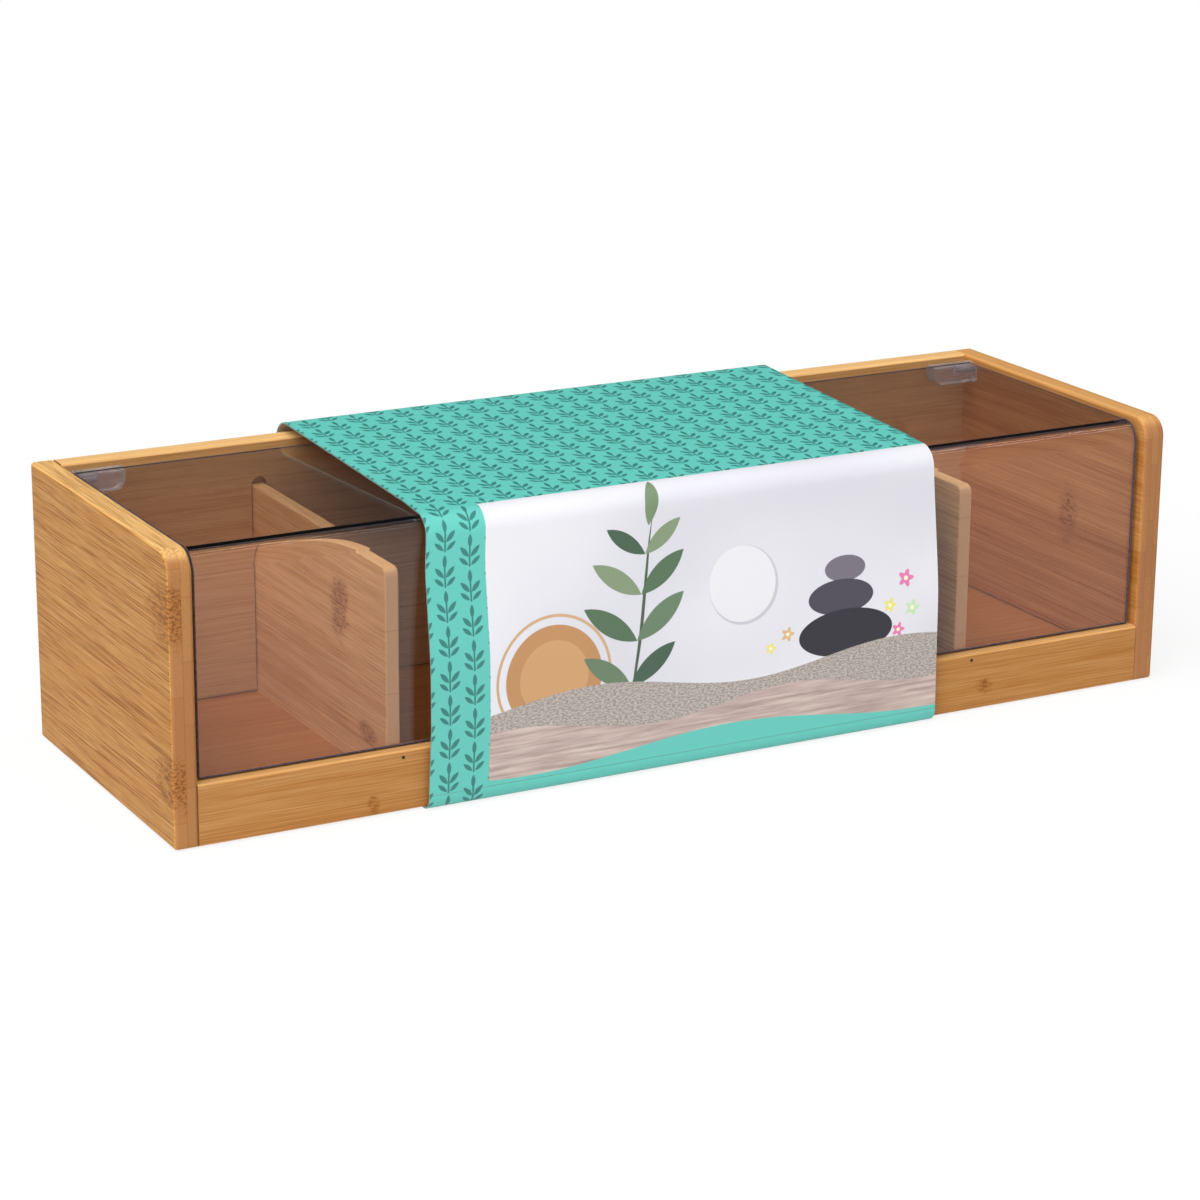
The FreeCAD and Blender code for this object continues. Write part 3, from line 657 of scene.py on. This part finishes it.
def make_band():
    """The card band in its two lengths: the flap over the lid, and the base under and behind the box."""
    finishes = [band_print(), plain_card("band_inside", tint(176, 166, 152), tint(206, 197, 184)),
                plain_card("band_core", tint(112, 146, 138), tint(140, 172, 163))]
    back, front, top, under = 0.06325, -0.06325, 0.09975, 0.00025
    brow, swell = (-0.05765, 0.09465, 0.00765), (front, 0.048, 0.120)
    crease_over, crease_under, foot_over, foot_under = 0.0900, 0.0893, 0.0052, 0.0051
    flap = [(back, top, 0.0085), brow, swell, (front, foot_over, 0.0)]
    base = [(back, under, 0.004), (front, under, 0.004), (front, foot_under, 0.0)]
    to_fold, to_foot = 0.1195, 0.0950
    flap_trim = (((0.0, 0.0026), (0.5, 0.0022), (0.6, 0.0008),
                  (0.66, -0.0004), (0.9, -0.0004), (1.0, -0.0013)),
                 ((0.0, -0.0006), (0.5, -0.0014), (0.62, -0.0030), (1.0, -0.0022)))
    base_trim = (((0.0, 0.0026), (0.4, 0.0), (1.0, -0.0013)), ((0.0, -0.0006), (1.0, -0.0022)))
    wrap_card("band_flap", "sleeve_flap", "sleeve_flap", (back, crease_over), flap,
              lambda run, length: run - to_fold, flap_trim, finishes)
    wrap_card("band_base", "sleeve_base", "box", (back, crease_under), base,
              lambda run, length: to_foot + 0.0001 + length - run, base_trim, finishes)


# Camera, light and floor

YAW_PITCH_ROLL = (-28.552, 17.151, 0.455)
STANDPOINT, LENS = (-0.54842, -0.99866, 0.39034), 104.72
SKY_WAY = (-0.40, -0.25, 0.88)
BOX_MIDDLE = (0.0, 0.0, 0.05)


def set_camera():
    """The camera at the photograph's viewing angle."""
    yaw, pitch, roll = (math.radians(a) for a in YAW_PITCH_ROLL)
    ahead = Vector((-math.sin(yaw) * math.cos(pitch), math.cos(yaw) * math.cos(pitch), -math.sin(pitch)))
    level = Vector((math.cos(yaw), math.sin(yaw), 0.0))
    side = level * math.cos(roll) + level.cross(ahead) * math.sin(roll)
    top = side.cross(ahead)
    data = bpy.data.cameras.new("camera")
    data.sensor_width, data.lens = 36.0, LENS
    camera = bpy.data.objects.new("camera", data)
    turned = Matrix((side, top, -ahead)).transposed().to_4x4()
    camera.matrix_world = Matrix.Translation(STANDPOINT) @ turned
    scene.collection.objects.link(camera)
    scene.camera = camera


def add_lamp(name, place, towards, size, power, tall=None):
    """A round lamp, or a long one when its height is given."""
    data = bpy.data.lights.new(name, "AREA")
    data.shape, data.size, data.energy = "RECTANGLE" if tall else "DISK", size, power
    if tall:
        data.size_y = tall
    lamp = bpy.data.objects.new(name, data)
    lamp.location = place
    lamp.rotation_euler = (Vector(towards) - Vector(place)).to_track_quat("-Z", "Y").to_euler()
    scene.collection.objects.link(lamp)


def set_studio():
    """Soft lamps and a soft sky; the camera, gloss and clear plastic see a white room."""
    scene.view_settings.view_transform = "Standard"
    add_lamp("lamp_front_left", (-1.2, -0.9, 1.75), BOX_MIDDLE, size=2.0, power=21.5)
    add_lamp("lamp_front", (-0.4, -2.3, 0.8), BOX_MIDDLE, size=2.0, power=6.2)
    add_lamp("lamp_bend", (1.0, -0.05, 2.0), (0.0, -0.05, 0.09), size=0.12, power=3.4, tall=1.6)

    world = bpy.data.worlds.new("studio")
    scene.world = world
    world.use_nodes = True
    w = NodeDesk(world.node_tree)

    def background(strength):
        node = w.add("ShaderNodeBackground")
        w.feed(node.inputs["Color"], grey(1.0))
        w.feed(node.inputs["Strength"], strength)
        return node.outputs[0]

    way = w.add("ShaderNodeTexCoord").outputs["Generated"]
    sky = w.add("ShaderNodeVectorMath", operation="DOT_PRODUCT")
    w.feed(sky.inputs[0], way)
    w.feed(sky.inputs[1], SKY_WAY)
    soft = background(w.step(sky.outputs["Value"], 0.6, 1.0, 0.03, 2.65))

    ray = w.add("ShaderNodeLightPath").outputs
    _, forward, rise = w.split(way)
    near_floor = w.step(rise, 0.06, 0.16, 0.65, 0.05)
    in_front = w.step(forward, -0.3, -0.1, 0.6, 0.0)
    white = background(w.math("MAXIMUM", ray["Is Camera Ray"], w.math("MAXIMUM", near_floor, in_front)))
    through = w.math("MULTIPLY", ray["Is Transmission Ray"], near_floor)
    shown = w.math("MAXIMUM", ray["Is Glossy Ray"], through)
    shown = w.math("MAXIMUM", ray["Is Camera Ray"], shown)
    out = w.add("ShaderNodeOutputWorld")
    w.feed(out.inputs["Surface"], w.choose(shown, soft, white))


def set_floor():
    """White paper, which keeps the shadow of the box close to it."""
    bm = bmesh.new()
    bmesh.ops.create_grid(bm, x_segments=1, y_segments=1, size=6.0)
    mesh = bpy.data.meshes.new("studio_floor")
    bm.to_mesh(mesh)
    bm.free()
    floor = bpy.data.objects.new("studio_floor", mesh)
    scene.collection.objects.link(floor)
    f = Finish("floor_paper")
    x, y, z = f.place()
    pulp = f.noise(f.stretch((x, y, z), (300, 300, 300)), 2)
    matt = f.add("ShaderNodeBsdfDiffuse")
    f.feed(matt.inputs["Color"], f.mix(pulp, grey(0.86), grey(0.88)))
    ray = f.add("ShaderNodeLightPath").outputs
    glow = f.add("ShaderNodeEmission")
    f.feed(glow.inputs["Strength"], 1.0)
    f.feed(glow.inputs["Color"], f.mix(ray["Is Glossy Ray"], grey(1.0), grey(0.65)))
    seen = f.math("MAXIMUM", ray["Is Camera Ray"], ray["Is Glossy Ray"])
    seen = f.math("MAXIMUM", seen, ray["Is Transmission Ray"])
    seen = f.math("MULTIPLY", seen, f.step(f.away(x, y), 0.25, 0.7, 0.84, 1.0))
    put_finish(floor, f.show(f.choose(seen, matt.outputs[0], glow.outputs[0])))


finish_boards()
beech = dowel_wood()
put_finish(nodes["back_wall_dowels"], beech)
put_finish(nodes["front_rail_dowels"], beech)
put_finish(nodes["divider_brads"], drawn_steel("brad_steel", "YZX", tint(58, 46, 38), tint(96, 80, 66)))
for side in ("left", "right"):
    pin = drawn_steel(f"pin_steel_{side}", "XYZ", tint(150, 150, 152), tint(196, 196, 200))
    block = clear_sheet(f"block_plastic_{side}", CLEAR_BLOCK, grey(1.0), depth=0.0, roughness=(0.12, 0.28),
                        clear=0.86)
    put_finish(nodes[f"hinge_pin_{side}"], pin)
    put_finish(nodes[f"hinge_block_{side}"], block)
make_lid()
make_band()
set_studio()
set_floor()
set_camera()
